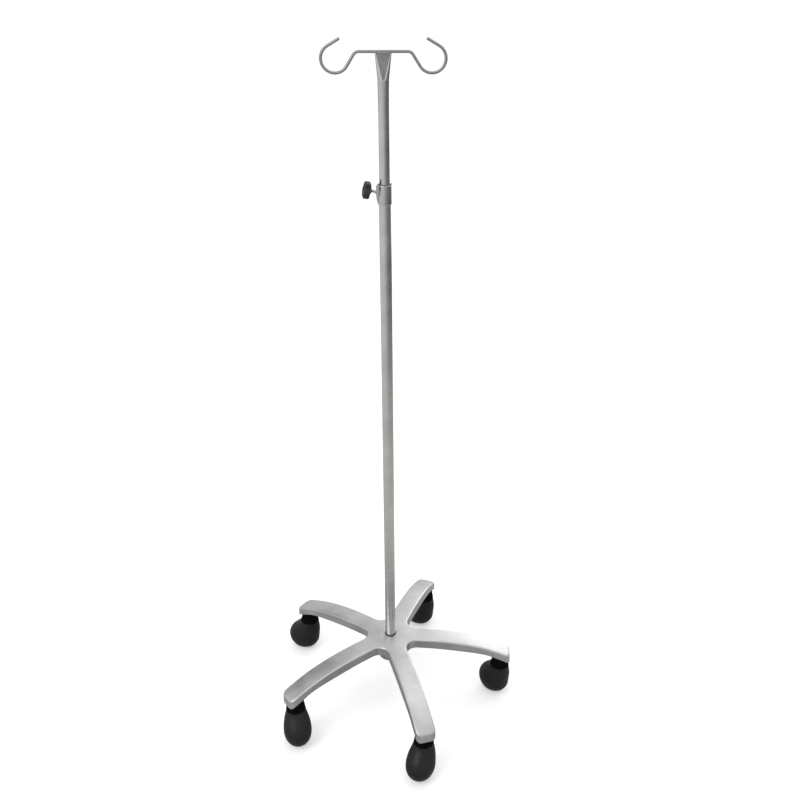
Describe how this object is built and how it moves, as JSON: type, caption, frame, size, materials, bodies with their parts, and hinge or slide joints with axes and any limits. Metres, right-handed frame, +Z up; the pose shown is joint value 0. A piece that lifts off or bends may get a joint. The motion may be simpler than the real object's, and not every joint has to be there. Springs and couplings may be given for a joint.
{
  "type": "infusion stand",
  "caption": "Height-adjustable rolling infusion stand: cast star base on hooded twin-wheel casters, telescoping tube with a clamp knob and a bent double-hook rod.",
  "frame": {"origin": "on the pole's axis at floor level, under the hub", "axes": "+Z up along the pole; the hook rod lies along X; the clamp knob points to -X, 8 degrees towards -Y"},
  "size_m": [0.5902, 0.6352, 1.613],
  "materials": {
    "cast_aluminium": "fine satin casting, bead blasted and brushed",
    "lower_tube": "polished stainless steel with fine lengthwise drawing lines",
    "upper_tube": "bright polished stainless steel",
    "hook_steel": "satin stainless rod",
    "collar_steel": "machined stainless steel, lightly polished",
    "screw_steel": "bright plated thread",
    "zinc_steel": "zinc plated",
    "pad_brass": "turned brass",
    "knob_plastic": "black moulded nylon",
    "hood_plastic": "black moulded nylon, soft satin",
    "wheel_plastic": "black moulded nylon",
    "tread_rubber": "dark grey-black tread",
    "black_rubber": "dark seal",
    "nylon": "dark moulded nylon"
  },
  "bodies": {
    "root": {"star_base": "cast_aluminium", "pole_bolt": "zinc_steel", "pole_washer": "zinc_steel", "pole_plug": "zinc_steel", "foot_ring": "black_rubber", "lower_pole": "lower_tube", "clamp_collar": "collar_steel", "guide_ring": "nylon", "thread_insert": "zinc_steel", "caster_stem_1": "zinc_steel", "caster_stem_2": "zinc_steel", "caster_stem_3": "zinc_steel", "caster_stem_4": "zinc_steel", "caster_stem_5": "zinc_steel"},
    "slider": {"slider_plug": "nylon"},
    "upper": {"upper_pole": "upper_tube", "hook_rod": "hook_steel"},
    "pad": {"pressure_pad": "pad_brass"},
    "knob": {"clamp_screw": "screw_steel", "clamp_knob": "knob_plastic", "knob_cap": "knob_plastic"},
    "caster_1": {"caster_hood_1": "hood_plastic", "caster_axle_1": "zinc_steel", "dust_ring_1": "black_rubber"},
    "wheel_a_1": {"wheel_core_a_1": "wheel_plastic", "wheel_tyre_a_1": "tread_rubber"},
    "wheel_b_1": {"wheel_core_b_1": "wheel_plastic", "wheel_tyre_b_1": "tread_rubber"},
    "caster_2": {"caster_hood_2": "hood_plastic", "caster_axle_2": "zinc_steel", "dust_ring_2": "black_rubber"},
    "wheel_a_2": {"wheel_core_a_2": "wheel_plastic", "wheel_tyre_a_2": "tread_rubber"},
    "wheel_b_2": {"wheel_core_b_2": "wheel_plastic", "wheel_tyre_b_2": "tread_rubber"},
    "caster_3": {"caster_hood_3": "hood_plastic", "caster_axle_3": "zinc_steel", "dust_ring_3": "black_rubber"},
    "wheel_a_3": {"wheel_core_a_3": "wheel_plastic", "wheel_tyre_a_3": "tread_rubber"},
    "wheel_b_3": {"wheel_core_b_3": "wheel_plastic", "wheel_tyre_b_3": "tread_rubber"},
    "caster_4": {"caster_hood_4": "hood_plastic", "caster_axle_4": "zinc_steel", "dust_ring_4": "black_rubber"},
    "wheel_a_4": {"wheel_core_a_4": "wheel_plastic", "wheel_tyre_a_4": "tread_rubber"},
    "wheel_b_4": {"wheel_core_b_4": "wheel_plastic", "wheel_tyre_b_4": "tread_rubber"},
    "caster_5": {"caster_hood_5": "hood_plastic", "caster_axle_5": "zinc_steel", "dust_ring_5": "black_rubber"},
    "wheel_a_5": {"wheel_core_a_5": "wheel_plastic", "wheel_tyre_a_5": "tread_rubber"},
    "wheel_b_5": {"wheel_core_b_5": "wheel_plastic", "wheel_tyre_b_5": "tread_rubber"}
  },
  "joints": [
    {"name": "height_slide", "type": "slide", "parent": "root", "child": "slider", "axis": [0, 0, 1], "range_m": [-0.15, 0.6]},
    {"name": "hook_turn", "type": "hinge", "parent": "slider", "child": "upper", "pos_m": [0, 0, 0.56], "axis": [0, 0, 1], "continuous": true},
    {"name": "pad_slide", "type": "slide", "parent": "root", "child": "pad", "axis": [-0.9686, -0.1361, 0.2079], "range_m": [0, 0.002]},
    {"name": "screw_turn", "type": "hinge", "parent": "pad", "child": "knob", "pos_m": [-0.01937, -0.00272, 1.31936], "axis": [-0.9686, -0.1361, 0.2079], "range_deg": [0, 720]},
    {"name": "caster_swivel_1", "type": "hinge", "parent": "root", "child": "caster_1", "pos_m": [0.279, 0, 0.1], "axis": [0, 0, 1], "continuous": true},
    {"name": "wheel_spin_a_1", "type": "hinge", "parent": "caster_1", "child": "wheel_a_1", "pos_m": [0.26679, 0.01456, 0.0375], "axis": [-0.766, -0.6428, 0], "continuous": true},
    {"name": "wheel_spin_b_1", "type": "hinge", "parent": "caster_1", "child": "wheel_b_1", "pos_m": [0.26679, 0.01456, 0.0375], "axis": [-0.766, -0.6428, 0], "continuous": true},
    {"name": "caster_swivel_2", "type": "hinge", "parent": "root", "child": "caster_2", "pos_m": [0.08622, 0.26534, 0.1], "axis": [0, 0, 1], "continuous": true},
    {"name": "wheel_spin_a_2", "type": "hinge", "parent": "caster_2", "child": "wheel_a_2", "pos_m": [0.06976, 0.27485, 0.0375], "axis": [-0.5, -0.866, 0], "continuous": true},
    {"name": "wheel_spin_b_2", "type": "hinge", "parent": "caster_2", "child": "wheel_b_2", "pos_m": [0.06976, 0.27485, 0.0375], "axis": [-0.5, -0.866, 0], "continuous": true},
    {"name": "caster_swivel_3", "type": "hinge", "parent": "root", "child": "caster_3", "pos_m": [-0.22572, 0.16399, 0.1], "axis": [0, 0, 1], "continuous": true},
    {"name": "wheel_spin_a_3", "type": "hinge", "parent": "caster_3", "child": "wheel_a_3", "pos_m": [-0.24357, 0.17049, 0.0375], "axis": [-0.342, -0.9397, 0], "continuous": true},
    {"name": "wheel_spin_b_3", "type": "hinge", "parent": "caster_3", "child": "wheel_b_3", "pos_m": [-0.24357, 0.17049, 0.0375], "axis": [-0.342, -0.9397, 0], "continuous": true},
    {"name": "caster_swivel_4", "type": "hinge", "parent": "root", "child": "caster_4", "pos_m": [-0.22572, -0.16399, 0.1], "axis": [0, 0, 1], "continuous": true},
    {"name": "wheel_spin_a_4", "type": "hinge", "parent": "caster_4", "child": "wheel_a_4", "pos_m": [-0.22144, -0.18251, 0.0375], "axis": [0.9744, 0.225, 0], "continuous": true},
    {"name": "wheel_spin_b_4", "type": "hinge", "parent": "caster_4", "child": "wheel_b_4", "pos_m": [-0.22144, -0.18251, 0.0375], "axis": [0.9744, 0.225, 0], "continuous": true},
    {"name": "caster_swivel_5", "type": "hinge", "parent": "root", "child": "caster_5", "pos_m": [0.08622, -0.26534, 0.1], "axis": [0, 0, 1], "continuous": true},
    {"name": "wheel_spin_a_5", "type": "hinge", "parent": "caster_5", "child": "wheel_a_5", "pos_m": [0.0791, -0.28296, 0.0375], "axis": [0.9272, -0.3746, 0], "continuous": true},
    {"name": "wheel_spin_b_5", "type": "hinge", "parent": "caster_5", "child": "wheel_b_5", "pos_m": [0.0791, -0.28296, 0.0375], "axis": [0.9272, -0.3746, 0], "continuous": true}
  ],
  "couplings": [
    {"joint": "pad_slide", "follows": "screw_turn", "m_per_rad": 0.00015915}
  ]
}
